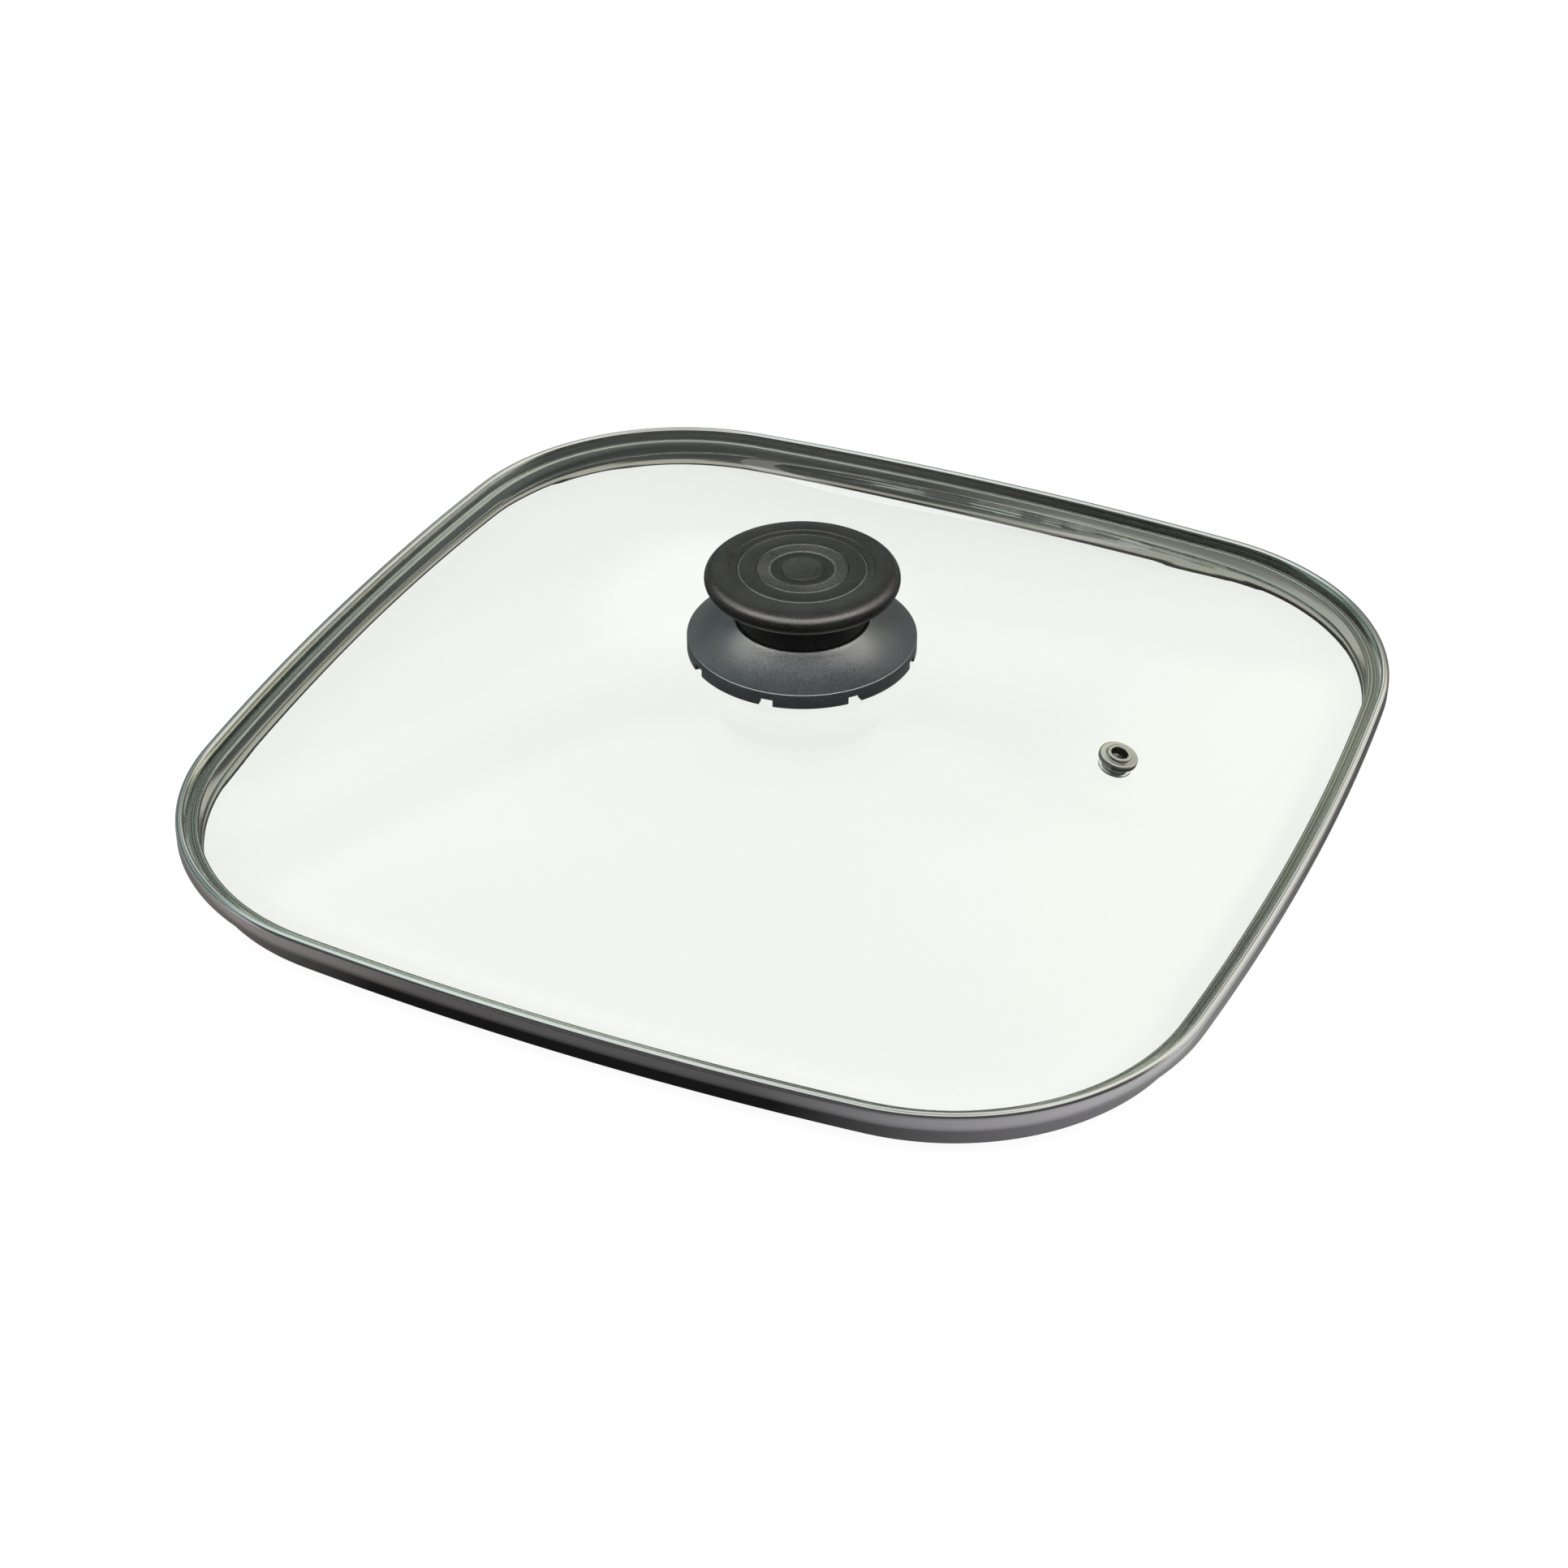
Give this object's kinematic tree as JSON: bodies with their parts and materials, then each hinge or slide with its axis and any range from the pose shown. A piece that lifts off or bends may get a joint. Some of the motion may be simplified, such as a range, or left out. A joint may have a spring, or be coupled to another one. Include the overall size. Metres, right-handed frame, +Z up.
{
  "type": "electric skillet lid",
  "caption": "Square domed glass lid of an electric skillet, with a rolled stainless steel rim, a black plastic knob screwed on at its centre and a steel steam vent.",
  "frame": {"origin": "on the knob's axis, in the plane that the foot of the rim's hem stands on", "axes": "+Z up out of the dome, +X from the knob to the steam vent, +Y square to both"},
  "size_m": [0.3, 0.3, 0.0645],
  "materials": {
    "glass": "clear tempered glass",
    "rim_steel": "polished stainless strip",
    "knob_plastic": "satin phenolic",
    "inlay_plastic": "fine texture",
    "insert_brass": "turned",
    "screw_steel": "bright zinc plate",
    "silicone": "translucent silicone",
    "vent_steel": "polished stainless"
  },
  "bodies": {
    "lid": {"rim_band": "rim_steel", "glass_pane": "glass", "upper_gasket": "silicone", "under_gasket": "silicone", "screw_bush": "silicone", "flat_washer": "screw_steel", "spring_washer": "screw_steel", "knob_screw": "screw_steel", "knob_base": "knob_plastic", "vent_eyelet": "vent_steel", "vent_gasket": "silicone", "vent_washer": "silicone"},
    "knob_core": {"knob_inlay": "inlay_plastic"},
    "knob": {"knob_grip": "knob_plastic", "knob_insert": "insert_brass"}
  },
  "joints": [
    {"name": "knob_rise", "type": "slide", "parent": "lid", "child": "knob_core", "axis": [0, 0, 1], "range_m": [0, 0.008]},
    {"name": "knob_turn", "type": "hinge", "parent": "knob_core", "child": "knob", "pos_m": [0, 0, 0.0625], "axis": [0, 0, 1], "range_deg": [0, 3600]}
  ],
  "couplings": [
    {"joint": "knob_rise", "follows": "knob_turn", "m_per_rad": 0.00012732}
  ]
}
